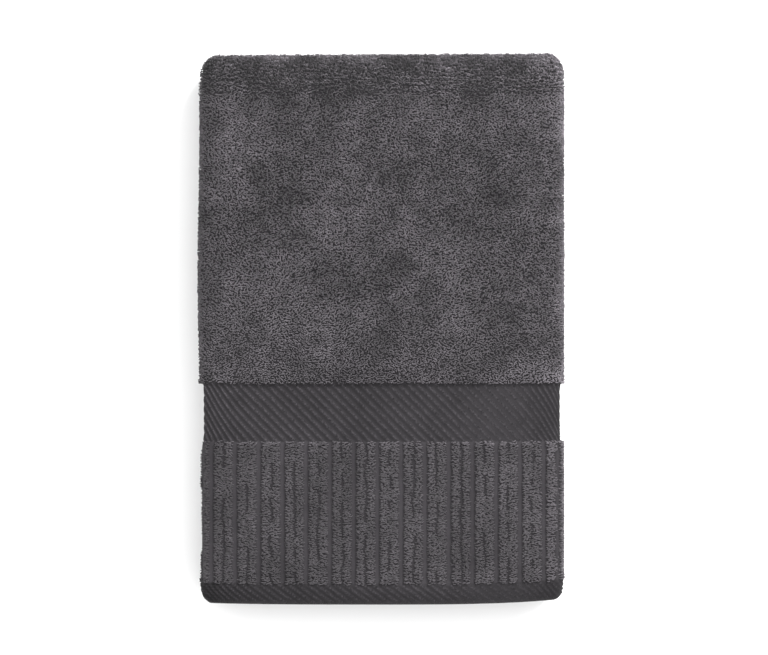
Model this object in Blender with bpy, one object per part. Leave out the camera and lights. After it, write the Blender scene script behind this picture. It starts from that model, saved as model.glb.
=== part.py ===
"""Folded terry bath towel, as one woven cloth.

The cloth is folded in three across its width, like a letter, and then in half twice along its
length. Every point of its two faces lies on both folds, so the folds are made as they are made by
hand: a section across the width is traced first, and that section is then carried along the length.
X runs across the folded towel, Y from its hem to its top fold, and Z up from the surface.
"""

import math
from typing import NamedTuple

import bmesh
import bpy
import numpy as np
from mathutils import Vector
from mathutils.geometry import delaunay_2d_cdt

# Outline of the folded towel seen from above, in metres
WIDTH = 0.229
LENGTH = 0.348

# The cloth
TERRY = 0.0036  # with its loops on both faces
FLAT_WEAVE = 0.0014  # dobby band, and the grooves between the ribs, on the right side
HEM = 0.0028  # turned under twice
GROUND = TERRY / 2  # from the middle of the cloth to its wrong side
LAYER_GAP = 0.0008  # between the three layers of the section
PASS_GAP = 0.0010  # between the four passes of the section
EDGE_ROUNDING = 0.0012  # how far from a cut edge the cloth is full thickness
EDGE_SHARE = 0.5  # of the thickness, left at the edge itself

# Ribs of the end borders: loops stand in bars, with flat weave between them
RIB_PITCH = 0.01490
GROOVE_COUNT = 15
GROOVE_FLOOR = 0.0036
GROOVE_TOP = 0.0056
FIRST_GROOVE_X = -0.1070

# Diagonal cords of the dobby band and of the hem
CORD_PITCH = 0.00593  # from cord to cord across the cloth
CORD_HEIGHT = 0.0009
CORD_VALLEY = 0.0003  # how far the valleys lie under the flat weave
CORD_INSET = 0.0008  # over which a cord rises at its band's border
CLOSING_AT = 0.078  # from the front's middle: the cords begin to close up towards its sides
CLOSING_REACH = 0.032  # over this distance their pitch falls to half
CORD_SEARCH = 400  # points across the border between which a cord's line is looked up

# The section, folded in three: each layer lies this far from the next
LAYER_STEP = TERRY + LAYER_GAP
SECTION = 3 * TERRY + 2 * LAYER_GAP
LEFT_FOLD_R = LAYER_STEP / 2
RIGHT_FOLD_R = LAYER_STEP
LEFT_FOLD_X = -WIDTH / 2 + LEFT_FOLD_R + TERRY / 2
RIGHT_FOLD_X = WIDTH / 2 - RIGHT_FOLD_R - TERRY / 2
LEFT_FLAP_EDGE_X = 0.1055
RIGHT_FLAP_EDGE_X = -0.1070

# The four passes along the length
PASS_STEP = SECTION + PASS_GAP
TOP_FOLD_R = 1.5 * PASS_STEP
SMALL_FOLD_R = PASS_STEP / 2
TOP_FOLD_Y = LENGTH / 2 - TOP_FOLD_R - SECTION / 2
BASE_FOLD_BACK = 0.0025  # the base fold stops this short of the hem
BASE_FOLD_Y = -LENGTH / 2 + BASE_FOLD_BACK + SMALL_FOLD_R + SECTION / 2
DROOP_R = 0.0140
DROOP_DEG = 50.0  # the hem hangs over the lower passes by this angle
DROOP_Y = -LENGTH / 2 + (DROOP_R + SECTION / 2) * math.sin(math.radians(DROOP_DEG))
INNER_END_Y = DROOP_Y - 0.0020  # the cloth's other end, under the droop
LOWER_WIDTH = 0.985  # the lower passes' share of the front's width
BAND_WIDTH = 0.991  # the dobby band pulls the sides in to this share

# Unevenness of the settled towel
CROWN = 0.05  # how much lower the stack is at its sides
LEFT_BULGE = 0.0012
LEFT_BULGE_AT = 0.2  # of the half length, from the middle towards the top fold
LEFT_BULGE_SPREAD = 0.3
RIGHT_HEM_RISE = 0.0034
LEFT_HEM_RISE = 0.0010
TOP_TILT = 0.0012
BAND_EASE = 0.004  # half the length over which the sides are drawn in
CORNER_REACH = 0.018  # from the top fold and from the hem, where the corners draw in
TOP_CORNERS = (0.0055, 0.0033)  # how far the left and the right corner draw in
HEM_CORNERS = (0.0050, 0.0015)

CHARCOAL = (0.092, 0.086, 0.094, 1.0)


class Run(NamedTuple):
    """One stretch of a folded line, straight where it turns by nothing."""

    name: str
    length: float
    turn_deg: float = 0.0
    steps: int = 1


def fold(name, radius, turn_deg, steps):
    """A run that turns with an even radius, to the right for a negative angle."""
    return Run(name, radius * math.radians(abs(turn_deg)), turn_deg, steps)


class Band(NamedTuple):
    """One band of the weave: it ends at a distance from the cloth's end."""

    name: str
    ends_at: float
    crest: float
    groove: float


ACROSS = (
    Run("left flap", LEFT_FLAP_EDGE_X - LEFT_FOLD_X, steps=3),
    fold("left fold", LEFT_FOLD_R, -180, 6),
    Run("front", RIGHT_FOLD_X - LEFT_FOLD_X, steps=4),
    fold("right fold", RIGHT_FOLD_R, -180, 8),
    Run("right flap", RIGHT_FOLD_X - RIGHT_FLAP_EDGE_X, steps=3),
)
ACROSS_START = (LEFT_FLAP_EDGE_X, 0.0)
ACROSS_HEADING = math.pi

ALONG = (
    fold("hem droop", DROOP_R, -DROOP_DEG, 5),
    Run("front pass", TOP_FOLD_Y - DROOP_Y, steps=4),
    fold("top fold", TOP_FOLD_R, -180, 9),
    Run("lowest pass", TOP_FOLD_Y - BASE_FOLD_Y),
    fold("base fold", SMALL_FOLD_R, -180, 6),
    Run("third pass", TOP_FOLD_Y - BASE_FOLD_Y),
    fold("inner fold", SMALL_FOLD_R, 180, 6),
    Run("second pass", TOP_FOLD_Y - INNER_END_Y),
)
FRONT_PASS_Z = SECTION / 2 + 3 * PASS_STEP
DROOP_RUN = DROOP_R * math.sin(math.radians(DROOP_DEG))
DROOP_FALL = DROOP_R * (1 - math.cos(math.radians(DROOP_DEG)))
ALONG_START = (DROOP_Y - DROOP_RUN, FRONT_PASS_Z - DROOP_FALL)
ALONG_HEADING = math.radians(DROOP_DEG)

CLOTH_LENGTH = sum(run.length for run in ALONG)
CLOTH_WIDTH = sum(run.length for run in ACROSS)

BANDS = (
    Band("hem", 0.0113, HEM, HEM),
    Band("ribs", 0.1002, TERRY, FLAT_WEAVE),
    Band("dobby", 0.1367, FLAT_WEAVE, FLAT_WEAVE),
    Band("terry", CLOTH_LENGTH / 2, TERRY, TERRY),
)
BAND_STEP = 0.0005  # half the length over which one band becomes the next
HEM_END, RIBS_END, DOBBY_END = (band.ends_at for band in BANDS[:3])


class Weave(NamedTuple):
    """A band with diagonal cords: they move left by their lean for each step along the cloth."""

    starts_at: float
    ends_at: float
    lean: float
    rows: int  # points along each cord

    @property
    def middle(self):
        return (self.starts_at + self.ends_at) / 2


CORD_WEAVES = (
    Weave(EDGE_ROUNDING, HEM_END - BAND_STEP, 1.83, 4),
    Weave(RIBS_END + BAND_STEP, DOBBY_END - BAND_STEP, 1.0, 5),
)

# The border that shows, from the middle of one side fold to the middle of the other
FRONT_START = ACROSS[0].length + ACROSS[1].length
FRONT_MIDDLE = FRONT_START - LEFT_FOLD_X
BORDER_LEFT = FRONT_START - ACROSS[1].length / 2
BORDER_RIGHT = FRONT_START + ACROSS[2].length + ACROSS[3].length / 2
BORDER_START = EDGE_ROUNDING
BORDER_END = DOBBY_END + BAND_STEP
SAME_POINT = 1e-6  # two points of the border nearer than this are one


def follow(runs, start, heading, distances):
    """The points and left-hand normals at some distances along a folded line."""
    points, normals = [], []
    for distance in distances:
        point, angle, left = np.array(start), heading, distance
        for run in runs:
            walked = min(left, run.length)
            bend = math.radians(run.turn_deg) / run.length
            if bend:
                turned = angle + bend * walked
                point = point + np.array(
                    (math.sin(turned) - math.sin(angle), math.cos(angle) - math.cos(turned))
                ) / bend
                angle = turned
            else:
                point = point + walked * np.array((math.cos(angle), math.sin(angle)))
            left -= walked
            if left <= 0:
                break
        points.append(point)
        normals.append((-math.sin(angle), math.cos(angle)))
    return np.array(points), np.array(normals)


def run_steps(runs):
    """The distances at which each run of a folded line is divided."""
    distances, at = [0.0], 0.0
    for run in runs:
        distances += [at + run.length * (i + 1) / run.steps for i in range(run.steps)]
        at += run.length
    return distances


def with_edges(distances, total):
    """The distances with one more near each end, where the edge's rounding begins."""
    return sorted([*distances, EDGE_ROUNDING, total - EDGE_ROUNDING])


def groove_distances():
    """The four corners of each groove, as distances across the cloth."""
    corners = (-GROOVE_TOP / 2, -GROOVE_FLOOR / 2, GROOVE_FLOOR / 2, GROOVE_TOP / 2)
    return [
        FRONT_MIDDLE + FIRST_GROOVE_X + number * RIB_PITCH + corner
        for number in range(GROOVE_COUNT)
        for corner in corners
    ]


def groove_share(distances):
    """1 on the floor of a groove, 0 on a rib, and between them on a groove's sides."""
    corners = groove_distances()
    shares = [0.0, 1.0, 1.0, 0.0] * GROOVE_COUNT
    return np.interp(distances, corners, shares, left=0.0, right=0.0)


def edge_share(distance, total):
    """The share of the thickness that the cloth has at a distance from its nearer edge."""
    inset = np.minimum(distance, total - np.asarray(distance))
    return np.interp(inset, (0.0, EDGE_ROUNDING), (EDGE_SHARE, 1.0))


def band_values(along):
    """The thickness on the ribs and in the grooves, at distances along the cloth."""
    from_end = np.minimum(along, CLOTH_LENGTH - along)
    places, crests, grooves = [], [], []
    band_start = 0.0
    for band in BANDS:
        places += [band_start + BAND_STEP, band.ends_at - BAND_STEP]
        crests += [band.crest] * 2
        grooves += [band.groove] * 2
        band_start = band.ends_at
    return np.interp(from_end, places, crests), np.interp(from_end, places, grooves)


def cord_number(across, along, weave):
    """How many cords lie left of a point in a corded band, with a fraction between two."""
    from_middle = across - FRONT_MIDDLE
    beyond = np.maximum(np.abs(from_middle) - CLOSING_AT, 0.0)
    closing = np.minimum(beyond, CLOSING_REACH)
    added = closing**3 / (3 * CLOSING_REACH**2) + beyond - closing
    spread = from_middle + np.sign(from_middle) * added
    return (spread + weave.lean * (along - weave.middle)) / CORD_PITCH


def cord_relief(across, along):
    """How far the diagonal cords raise the right side, fading out at their band's borders."""
    relief = np.zeros_like(across)
    from_side = np.minimum(across - BORDER_LEFT, BORDER_RIGHT - across)
    for weave in CORD_WEAVES:
        fraction = cord_number(across, along, weave) % 1.0
        ridge = CORD_HEIGHT * (1 - 2 * np.abs(fraction - 0.5)) - CORD_VALLEY
        from_rows = np.minimum(along - weave.starts_at, weave.ends_at - along)
        inside = np.clip(np.minimum(from_side, from_rows) / CORD_INSET, 0.0, 1.0)
        relief += ridge * inside
    return relief


def right_side(across, along):
    """How far the right side lies from the cloth's middle."""
    crest, groove = band_values(along)
    front_end = along < CLOTH_LENGTH / 2
    thickness = crest + (groove - crest) * groove_share(across) * front_end
    rounding = edge_share(along, CLOTH_LENGTH) * edge_share(across, CLOTH_WIDTH)
    return (thickness + cord_relief(across, along) - GROUND) * rounding


def wrong_side(across, along):
    """How far the wrong side lies from the cloth's middle, which is the other way."""
    return -GROUND * edge_share(along, CLOTH_LENGTH) * edge_share(across, CLOTH_WIDTH)


def width_share(along):
    """The section's width at distances along the cloth, as a share of the front's."""
    top_fold_start = ALONG[0].length + ALONG[1].length
    top_fold_end = top_fold_start + ALONG[2].length
    lower = np.interp(along, (top_fold_start, top_fold_end), (1.0, LOWER_WIDTH))
    places = [edge + side for edge in (RIBS_END, DOBBY_END) for side in (-BAND_EASE, BAND_EASE)]
    return lower * np.interp(along, places, (1.0, BAND_WIDTH, BAND_WIDTH, 1.0))


def settle(points):
    """Lowers the sides a little and gives the outline its bulges, rises and round corners."""
    x, y, z = points.T.copy()
    side = 2 * x / WIDTH
    lengthwise = 2 * y / LENGTH
    height = 1 - CROWN * np.abs(side) ** 4
    bulge_span = np.exp(-(((lengthwise - LEFT_BULGE_AT) / LEFT_BULGE_SPREAD) ** 2))
    bulge = LEFT_BULGE * np.maximum(-side, 0) ** 2 * bulge_span
    hem_rise = np.where(side > 0, RIGHT_HEM_RISE, LEFT_HEM_RISE) * np.abs(side) ** 3
    near_hem = np.maximum(-lengthwise, 0) ** 2
    near_top = np.maximum(lengthwise, 0) ** 2
    settled_y = y + hem_rise * near_hem - TOP_TILT * (1 - side) / 2 * near_top
    right = (side > 0).astype(int)
    corner = np.where(y > 0, np.take(TOP_CORNERS, right), np.take(HEM_CORNERS, right))
    near_end = np.clip(1 - (LENGTH / 2 - np.abs(y)) / CORNER_REACH, 0.0, 1.0)
    drawn_in = np.sign(x) * corner * near_end**3 * side**6
    return np.stack((x - bulge - drawn_in, settled_y, z * height), axis=1)


def place(across, along, face):
    """The settled points of one face of the cloth, at distances across and along it."""
    section, outward = follow(ACROSS, ACROSS_START, ACROSS_HEADING, across)
    section += outward * face(across, along)[:, None]
    middles, normals = follow(ALONG, ALONG_START, ALONG_HEADING, along)
    x = section[:, 0] * width_share(along)
    return settle(np.column_stack((x, middles + section[:, 1:] * normals)))


def along_stations():
    """The distances along the cloth at which the section is placed."""
    edges = [band.ends_at + side for band in BANDS[:-1] for side in (-BAND_STEP, BAND_STEP)]
    far_edges = [CLOTH_LENGTH - edge for edge in edges]
    return np.array(with_edges(run_steps(ALONG) + edges + far_edges, CLOTH_LENGTH))


def across_stations():
    """The distances across the cloth of the section's points, on each of its faces."""
    return np.array(with_edges(run_steps(ACROSS), CLOTH_WIDTH))


def nearest(stations, distance):
    """The place in a row of stations that a distance names."""
    return int(np.abs(stations - distance).argmin())


def face_grid(work, face):
    """One face's points, as rows of mesh points along the cloth."""
    across, along = across_stations(), along_stations()
    points = place(np.tile(across, len(along)), np.repeat(along, len(across)), face)
    rows = points.reshape(len(along), len(across), 3)
    return [[work.verts.new(point) for point in row] for row in rows]


def cord_lines():
    """The crests and valleys of the diagonal cords, as lines of (across, along) points."""
    across = np.linspace(BORDER_LEFT + CORD_INSET, BORDER_RIGHT - CORD_INSET, CORD_SEARCH)
    lines = []
    for weave in CORD_WEAVES:
        rows = np.linspace(weave.starts_at + CORD_INSET, weave.ends_at - CORD_INSET, weave.rows)
        numbers = [cord_number(across, row, weave) for row in rows]
        first = math.ceil(2 * min(row[0] for row in numbers))
        last = math.floor(2 * max(row[-1] for row in numbers))
        for half in range(first, last + 1):
            crossings = [
                (float(np.interp(half / 2, found, across)), row)
                for found, row in zip(numbers, rows)
                if found[0] <= half / 2 <= found[-1]
            ]
            if len(crossings) > 1:
                lines.append(crossings)
    return lines


def border_lines():
    """The lines that the border's triangles follow: folds, band edges, grooves and cords."""
    across, along = across_stations(), along_stations()
    columns = across[nearest(across, BORDER_LEFT) + 1 : nearest(across, BORDER_RIGHT)]
    rows = along[nearest(along, BORDER_START) + 1 : nearest(along, BORDER_END)]
    lines = [[(column, BORDER_START), (column, BORDER_END)] for column in columns]
    lines += [[(BORDER_LEFT, row), (BORDER_RIGHT, row)] for row in rows]
    ribs_start = HEM_END + BAND_STEP
    ribs_end = RIBS_END - BAND_STEP
    lines += [[(corner, ribs_start), (corner, ribs_end)] for corner in groove_distances()]
    return lines + cord_lines()


def border_block():
    """The border's first and last rows and its left and right columns in a face's grid."""
    rows = (nearest(along_stations(), row) for row in (BORDER_START, BORDER_END))
    columns = (nearest(across_stations(), column) for column in (BORDER_LEFT, BORDER_RIGHT))
    return (*rows, *columns)


def border(work, grid):
    """Triangles that hold the ribs and cords of the end that shows, inside the block's rim."""
    across, along = across_stations(), along_stations()
    first, last, left, right = border_block()
    rim = [(row, left) for row in range(first, last)]
    rim += [(last, column) for column in range(left, right)]
    rim += [(row, right) for row in range(last, first, -1)]
    rim += [(first, column) for column in range(right, left, -1)]
    places = [Vector((across[column], along[row])) for row, column in rim]
    guides = [(i, (i + 1) % len(rim)) for i in range(len(rim))]
    for line in border_lines():
        start = len(places)
        places += [Vector(point) for point in line]
        guides += [(start + i, start + i + 1) for i in range(len(line) - 1)]
    found, _, corners, sources, _, _ = delaunay_2d_cdt(places, guides, [], 0, SAME_POINT, True)
    flat = np.array([tuple(point) for point in found], dtype=float)
    points = place(flat[:, 0], flat[:, 1], right_side)
    verts = []
    for point, source in zip(points, sources):
        on_rim = [rim[i] for i in source if i < len(rim)]
        verts.append(grid[on_rim[0][0]][on_rim[0][1]] if on_rim else work.verts.new(point))
    for triangle in corners:
        work.faces.new([verts[i] for i in triangle])


def close_edges(work, outer, inner):
    """The narrow faces along the two selvedges and the two hems."""
    for column in (0, -1):
        for here, there in zip(range(len(outer) - 1), range(1, len(outer))):
            edge = (outer[here][column], outer[there][column])
            work.faces.new((*edge, inner[there][column], inner[here][column]))
    for row in (0, -1):
        for here, there in zip(range(len(outer[0]) - 1), range(1, len(outer[0]))):
            edge = (outer[row][here], outer[row][there])
            work.faces.new((*edge, inner[row][there], inner[row][here]))


def cover(work, grid, left_out=None):
    """Quads over a face's grid, but for a block given as (first row, last row, left, right)."""
    first, last, left, right = left_out or (0, 0, 0, 0)
    for row in range(len(grid) - 1):
        for column in range(len(grid[0]) - 1):
            if not (first <= row < last and left <= column < right):
                low, high = grid[row], grid[row + 1]
                work.faces.new((low[column], low[column + 1], high[column + 1], high[column]))


def towel_mesh():
    """A closed mesh of the folded cloth: two faces, the selvedges and the ends of the hems."""
    mesh = bpy.data.meshes.new("towel")
    work = bmesh.new()
    outer, inner = face_grid(work, right_side), face_grid(work, wrong_side)
    cover(work, outer, left_out=border_block())
    cover(work, inner)
    close_edges(work, outer, inner)
    border(work, outer)
    bmesh.ops.triangulate(work, faces=work.faces)
    bmesh.ops.recalc_face_normals(work, faces=work.faces)
    points = np.array([point.co for point in work.verts])
    low, high = points.min(axis=0), points.max(axis=0)
    middle_x, middle_y = (low + high)[:2] / 2
    bmesh.ops.translate(work, verts=work.verts, vec=(-middle_x, -middle_y, -low[2]))
    work.to_mesh(mesh)
    work.free()
    return mesh


def cloth_material():
    """Charcoal cotton."""
    material = bpy.data.materials.new("charcoal cotton")
    material.use_nodes = True
    shader = material.node_tree.nodes["Principled BSDF"]
    shader.inputs["Base Color"].default_value = CHARCOAL
    shader.inputs["Roughness"].default_value = 1.0
    shader.inputs["Metallic"].default_value = 0.0
    return material


def main():
    for old in list(bpy.data.objects):
        bpy.data.objects.remove(old)
    towel = bpy.data.objects.new("towel", towel_mesh())
    towel.data.materials.append(cloth_material())
    towel.data.shade_smooth()
    towel.data.set_sharp_from_angle(angle=math.radians(40))
    bpy.context.scene.collection.objects.link(towel)


main()
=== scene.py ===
"""Dresses the folded bath towel: its cloth, its woven border and its terry loops.

The cloth is one sheet, folded in three across its width and in half twice along its length. A point
of it is named by two distances, one across the flat cloth and one along it. FoldedForm turns such
distances into a place on the folded towel, so the cloth, the border's cords and every loop of the
pile follow the same folds. All sizes are in metres.
"""

import logging
import math
from dataclasses import dataclass, field
from enum import Enum, IntEnum
from functools import cached_property

import bpy
import numpy as np
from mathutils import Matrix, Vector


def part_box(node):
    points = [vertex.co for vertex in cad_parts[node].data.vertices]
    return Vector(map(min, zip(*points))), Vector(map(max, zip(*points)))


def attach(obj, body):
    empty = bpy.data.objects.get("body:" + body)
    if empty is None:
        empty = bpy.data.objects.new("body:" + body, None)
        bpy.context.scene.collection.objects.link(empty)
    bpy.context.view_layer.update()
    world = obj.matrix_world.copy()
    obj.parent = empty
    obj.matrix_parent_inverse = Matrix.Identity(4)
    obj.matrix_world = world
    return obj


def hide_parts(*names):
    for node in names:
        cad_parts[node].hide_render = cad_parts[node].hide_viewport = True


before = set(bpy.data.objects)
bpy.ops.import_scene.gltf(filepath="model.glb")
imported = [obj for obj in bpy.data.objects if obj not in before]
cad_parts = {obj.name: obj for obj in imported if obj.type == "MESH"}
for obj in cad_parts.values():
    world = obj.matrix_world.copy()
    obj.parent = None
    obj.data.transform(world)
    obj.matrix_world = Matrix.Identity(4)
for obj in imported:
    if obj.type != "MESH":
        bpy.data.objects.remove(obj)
log = logging.getLogger("towel")

SEED = 20
BAKE_MAP = "OFBake"
STRAIGHT_BEND = 1e-7
LEAST_STRETCH = 0.05
PLACE_DIGITS = 7
SAMPLES = 4000

Draws = np.random.Generator
Table = tuple[tuple[float, ...], tuple[float, ...]]
Socket = bpy.types.NodeSocket
Value = float | Socket
Inputs = dict[str | int, object]


class Zone(Enum):
    """The two bands of the border that have diagonal cords."""

    HEM = "hem"
    DOBBY = "dobby"


class PileKind(Enum):
    """Where a plot's loops stand: all over it, or on its ribs only."""

    FIELD = "field"
    RIBS = "ribs"


class Reading(Enum):
    """What each point of a mesh tells its material."""

    # shade: each loop's random tone with painted light and shade, or the sheet's painted shade.
    SHADE = "shade"
    # level: a point's height in its loop, which sets the loops' painted shade at their roots.
    LEVEL = "level"
    CLOTH = "cloth"
    # crest: the cords' painted highlights and painted shade.
    CREST = "crest"
    STITCH = "stitch"


class Across(IntEnum):
    """The runs of the section, from one side edge of the cloth to the other."""

    LEFT_FLAP = 0
    LEFT_FOLD = 1
    FRONT = 2
    RIGHT_FOLD = 3
    RIGHT_FLAP = 4


class Along(IntEnum):
    """The runs of the length, from the hem that shows to the hidden end."""

    DROOP = 0
    FRONT = 1
    TOP_FOLD = 2
    LOWEST = 3
    BASE_FOLD = 4
    THIRD = 5
    INNER_FOLD = 6
    SECOND = 7


def bell(distance: np.ndarray, width: float) -> np.ndarray:
    """A bell curve: e to the minus square of the distance over the width."""
    return np.exp(-((distance / width) ** 2))


@dataclass(frozen=True)
class SoftNoise:
    """Smooth random hills and hollows on a plane, between -1 and 1."""

    cell: float
    seed: int
    points: int = 64

    def __call__(self, first: np.ndarray, second: np.ndarray) -> np.ndarray:
        """Reads the hills: a table of random values, blended by smooth steps between its points.

        Args:
            first: One coordinate of each place.
            second: The other coordinate.

        Returns:
            The heights.
        """
        table = np.random.default_rng(self.seed).uniform(-1, 1, (self.points, self.points))
        u, v = first / self.cell, second / self.cell
        column, row = np.floor(u).astype(int), np.floor(v).astype(int)
        right, up = u - column, v - row
        right, up = right * right * (3 - 2 * right), up * up * (3 - 2 * up)
        heights = []
        for line in (row % self.points, (row + 1) % self.points):
            near, far = table[line, column % self.points], table[line, (column + 1) % self.points]
            heights.append(near * (1 - right) + far * right)
        return heights[0] * (1 - up) + heights[1] * up


@dataclass(frozen=True)
class Run:
    """One stretch of a folded line: an arc where it turns, else straight."""

    length: float
    turn_deg: float = 0.0

    @staticmethod
    def fold(radius: float, turn_deg: float) -> "Run":
        """Makes an arc as long as its radius times its turn, to the right if that is negative."""
        return Run(radius * math.radians(abs(turn_deg)), turn_deg)


@dataclass(frozen=True)
class FoldLine:
    """A line of straights and arcs in a plane, walked from its start."""

    runs: tuple[Run, ...]
    start: tuple[float, float]
    heading: float

    @cached_property
    def bends(self) -> np.ndarray:
        """Each run's curvature, its turn over its length, with a tiny one for a straight."""
        return np.array([math.radians(run.turn_deg) / run.length or STRAIGHT_BEND for run in self.runs])

    @cached_property
    def begins(self) -> np.ndarray:
        """The distance at which each run begins, and the whole length last."""
        return np.concatenate(([0.0], np.cumsum([run.length for run in self.runs])))

    @cached_property
    def corners(self) -> tuple[np.ndarray, np.ndarray]:
        """Chains the runs: each adds the sines' and cosines' difference over its curvature.

        Returns:
            The place and the heading at which each run begins.
        """
        places, headings = [np.array(self.start)], [self.heading]
        for run, bend in zip(self.runs, self.bends):
            angle = headings[-1]
            turned = angle + bend * run.length
            step = (math.sin(turned) - math.sin(angle), math.cos(angle) - math.cos(turned))
            places.append(places[-1] + np.array(step) / bend)
            headings.append(turned)
        return np.array(places), np.array(headings)

    @property
    def length(self) -> float:
        """The whole length."""
        return float(self.begins[-1])

    def span(self, first: int, last: int | None = None) -> tuple[float, float]:
        """The distances at which a run, or a row of runs, begins and ends."""
        return self.begins[first], self.begins[(first if last is None else last) + 1]

    def at(self, distance: np.ndarray) -> tuple[np.ndarray, np.ndarray, np.ndarray]:
        """Walks the line: the heading turns by curvature times distance, and the place follows it.

        Args:
            distance: Distances from the start.

        Returns:
            The points, the headings' unit vectors and the left-hand normals, as rows of two.
        """
        places, headings = self.corners
        run = np.clip(np.searchsorted(self.begins, distance, side="right") - 1, 0, len(self.runs) - 1)
        bend, angle = self.bends[run], headings[run]
        turned = angle + bend * (distance - self.begins[run])
        step = np.stack((np.sin(turned) - np.sin(angle), np.cos(angle) - np.cos(turned)), axis=1)
        ahead = np.stack((np.cos(turned), np.sin(turned)), axis=1)
        left = np.stack((-ahead[:, 1], ahead[:, 0]), axis=1)
        return places[run] + step / bend[:, None], ahead, left

    def stretched(self, outward: float) -> tuple[np.ndarray, np.ndarray]:
        """Relates distances on a surface beside the line to distances on the line.

        An arc's surface is 1 - curvature times offset as long as the arc itself.

        Args:
            outward: How far the surface lies to the left of the line.

        Returns:
            A rising table of surface distances, and the line's distance at each.
        """
        lengths = np.array([run.length for run in self.runs])
        arcs = np.abs(self.bends) > STRAIGHT_BEND
        shares = np.where(arcs, np.maximum(1 - self.bends * outward, LEAST_STRETCH), 1.0)
        return np.concatenate(([0.0], np.cumsum(lengths * shares))), self.begins


@dataclass(frozen=True)
class FoldedForm:
    """The folded towel's sizes, as its solid has them, and the folds that they make."""

    width: float = 0.229
    length: float = 0.348
    terry: float = 0.0036
    flat_weave: float = 0.0014
    hem: float = 0.0028
    layer_gap: float = 0.0008
    pass_gap: float = 0.0010
    edge_rounding: float = 0.0012
    edge_share: float = 0.5
    left_flap_edge: float = 0.1055
    right_flap_edge: float = -0.1070
    droop_radius: float = 0.0140
    droop_deg: float = 50.0
    base_fold_back: float = 0.0025
    inner_end_back: float = 0.0020
    lower_width: float = 0.985
    band_width: float = 0.991
    band_ease: float = 0.004
    band_step: float = 0.0005
    crown: float = 0.05
    left_bulge: float = 0.0012
    left_bulge_at: float = 0.2
    left_bulge_spread: float = 0.3
    right_hem_rise: float = 0.0034
    left_hem_rise: float = 0.0010
    top_tilt: float = 0.0012
    corner_reach: float = 0.018
    top_corners: tuple[float, float] = (0.0055, 0.0033)
    hem_corners: tuple[float, float] = (0.0050, 0.0015)
    hem_end: float = 0.0113
    ribs_end: float = 0.1002
    dobby_end: float = 0.1367

    @property
    def ground(self) -> float:
        """From the middle of the cloth to its wrong side."""
        return self.terry / 2

    @property
    def layer_step(self) -> float:
        """From one layer of the section to the next."""
        return self.terry + self.layer_gap

    @property
    def section(self) -> float:
        """The thickness of the three layers."""
        return 3 * self.terry + 2 * self.layer_gap

    @property
    def pass_step(self) -> float:
        """From one pass of the section to the next."""
        return self.section + self.pass_gap

    @property
    def left_fold_x(self) -> float:
        """Where the front begins to turn on the left."""
        return -self.width / 2 + self.layer_step / 2 + self.terry / 2

    @property
    def right_fold_x(self) -> float:
        """Where the front begins to turn on the right."""
        return self.width / 2 - self.layer_step - self.terry / 2

    @property
    def droop_y(self) -> float:
        """Where the front pass begins to hang down at the hem."""
        reach = (self.droop_radius + self.section / 2) * math.sin(math.radians(self.droop_deg))
        return -self.length / 2 + reach

    @property
    def top_fold_y(self) -> float:
        """Where the passes begin to turn at the top fold."""
        return self.length / 2 - 1.5 * self.pass_step - self.section / 2

    @property
    def base_fold_y(self) -> float:
        """Where the two lowest passes begin to turn at the hem's end."""
        return -self.length / 2 + self.base_fold_back + self.pass_step / 2 + self.section / 2

    @property
    def band_ends(self) -> tuple[float, float, float]:
        """Where the hem, the ribs and the dobby band end, along the cloth."""
        return self.hem_end, self.ribs_end, self.dobby_end

    @property
    def band_steps(self) -> list[float]:
        """Where the step behind each band begins and ends, along the cloth."""
        return [end + side for end in self.band_ends for side in (-self.band_step, self.band_step)]

    @cached_property
    def across(self) -> FoldLine:
        """The section: flap, fold, front, fold and flap, in the order of Across.

        Returns:
            The line, walked from the left flap's edge.
        """
        runs = (
            Run(self.left_flap_edge - self.left_fold_x),
            Run.fold(self.layer_step / 2, -180),
            Run(self.right_fold_x - self.left_fold_x),
            Run.fold(self.layer_step, -180),
            Run(self.right_fold_x - self.right_flap_edge),
        )
        return FoldLine(runs, (self.left_flap_edge, 0.0), math.pi)

    @cached_property
    def along(self) -> FoldLine:
        """The length: the hem's droop, the passes and the folds between them, as in Along.

        Returns:
            The line, walked from the hem that shows.
        """
        droop = math.radians(self.droop_deg)
        inner_end = self.droop_y - self.inner_end_back
        runs = (
            Run.fold(self.droop_radius, -self.droop_deg),
            Run(self.top_fold_y - self.droop_y),
            Run.fold(1.5 * self.pass_step, -180),
            Run(self.top_fold_y - self.base_fold_y),
            Run.fold(self.pass_step / 2, -180),
            Run(self.top_fold_y - self.base_fold_y),
            Run.fold(self.pass_step / 2, 180),
            Run(self.top_fold_y - inner_end),
        )
        front_z = self.section / 2 + 3 * self.pass_step
        start = (
            self.droop_y - self.droop_radius * math.sin(droop),
            front_z - self.droop_radius * (1 - math.cos(droop)),
        )
        return FoldLine(runs, start, droop)

    @property
    def front_middle(self) -> float:
        """The distance across the cloth at which the front has its middle line."""
        return float(self.across.begins[Across.FRONT]) - self.left_fold_x

    def from_end(self, along: np.ndarray) -> np.ndarray:
        """The distance from points along the cloth to its nearer end."""
        return np.minimum(along, self.along.length - along)

    def rounding(self, across: np.ndarray, along: np.ndarray) -> np.ndarray:
        """The share of its thickness that the cloth has near its edges, rising straight inwards.

        Args:
            across: Distances across the cloth.
            along: Distances along the cloth.

        Returns:
            1 inside, and less within the edge rounding.
        """
        places, shares = (0.0, self.edge_rounding), (self.edge_share, 1.0)
        side = np.minimum(across, self.across.length - across)
        return np.interp(side, places, shares) * np.interp(self.from_end(along), places, shares)

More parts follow.
